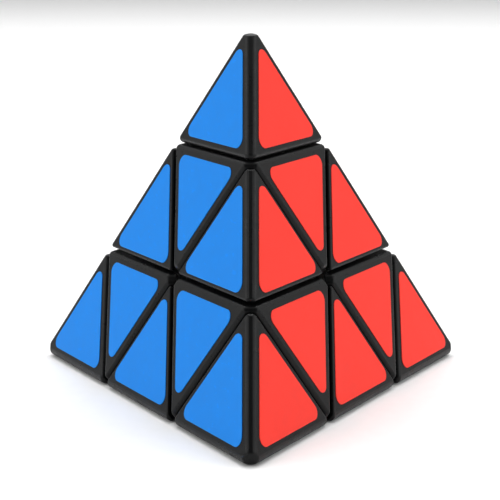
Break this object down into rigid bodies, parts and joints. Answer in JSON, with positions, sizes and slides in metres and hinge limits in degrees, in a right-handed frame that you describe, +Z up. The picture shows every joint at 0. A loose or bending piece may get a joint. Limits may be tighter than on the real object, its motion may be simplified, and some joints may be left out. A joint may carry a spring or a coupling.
{
  "type": "pyramid twisty puzzle",
  "caption": "Tetrahedral twisty puzzle with turning layers and corner tips, held by a screwed core inside.",
  "frame": {"origin": "centre of the core, where the four turning axes meet", "axes": "+Z up along the top corner's axis; -Y towards the front corner; +X to the right"},
  "size_m": [0.0966, 0.0842, 0.0795],
  "materials": {
    "shell_black": "satin",
    "mechanism_white": "satin",
    "core_grey": "matte",
    "zinc_steel": "zinc plated",
    "spring_steel": "polished wire"
  },
  "bodies": {
    "core": {"core_spider": "core_grey", "top_tension_screw": "zinc_steel", "top_washer": "zinc_steel", "top_spring": "spring_steel", "front_axial_shell": "shell_black", "front_axial_foot": "mechanism_white", "front_tension_screw": "zinc_steel", "front_washer": "zinc_steel", "front_spring": "spring_steel", "left_axial_shell": "shell_black", "left_axial_foot": "mechanism_white", "left_tension_screw": "zinc_steel", "left_washer": "zinc_steel", "left_spring": "spring_steel", "right_axial_shell": "shell_black", "right_axial_foot": "mechanism_white", "right_tension_screw": "zinc_steel", "right_washer": "zinc_steel", "right_spring": "spring_steel", "front_left_edge_shell": "shell_black", "front_left_edge_foot": "mechanism_white", "front_right_edge_shell": "shell_black", "front_right_edge_foot": "mechanism_white", "left_right_edge_shell": "shell_black", "left_right_edge_foot": "mechanism_white"},
    "top_layer": {"top_axial_shell": "shell_black", "top_axial_foot": "mechanism_white", "top_front_edge_shell": "shell_black", "top_front_edge_foot": "mechanism_white", "top_left_edge_shell": "shell_black", "top_left_edge_foot": "mechanism_white", "top_right_edge_shell": "shell_black", "top_right_edge_foot": "mechanism_white"},
    "top_tip": {"top_tip_cap": "shell_black", "top_tip_base": "mechanism_white"},
    "front_tip": {"front_tip_cap": "shell_black", "front_tip_base": "mechanism_white"},
    "left_tip": {"left_tip_cap": "shell_black", "left_tip_base": "mechanism_white"},
    "right_tip": {"right_tip_cap": "shell_black", "right_tip_base": "mechanism_white"}
  },
  "joints": [
    {"name": "top_layer_turn", "type": "hinge", "parent": "core", "child": "top_layer", "pos_m": [0, 0, 0], "axis": [0, 0, 1], "continuous": true},
    {"name": "top_tip_turn", "type": "hinge", "parent": "top_layer", "child": "top_tip", "pos_m": [0, 0, 0], "axis": [0, 0, 1], "continuous": true},
    {"name": "front_tip_turn", "type": "hinge", "parent": "core", "child": "front_tip", "pos_m": [0, 0, 0], "axis": [0, -0.9428, -0.3333], "continuous": true},
    {"name": "left_tip_turn", "type": "hinge", "parent": "core", "child": "left_tip", "pos_m": [0, 0, 0], "axis": [-0.8165, 0.4714, -0.3333], "continuous": true},
    {"name": "right_tip_turn", "type": "hinge", "parent": "core", "child": "right_tip", "pos_m": [0, 0, 0], "axis": [0.8165, 0.4714, -0.3333], "continuous": true}
  ]
}
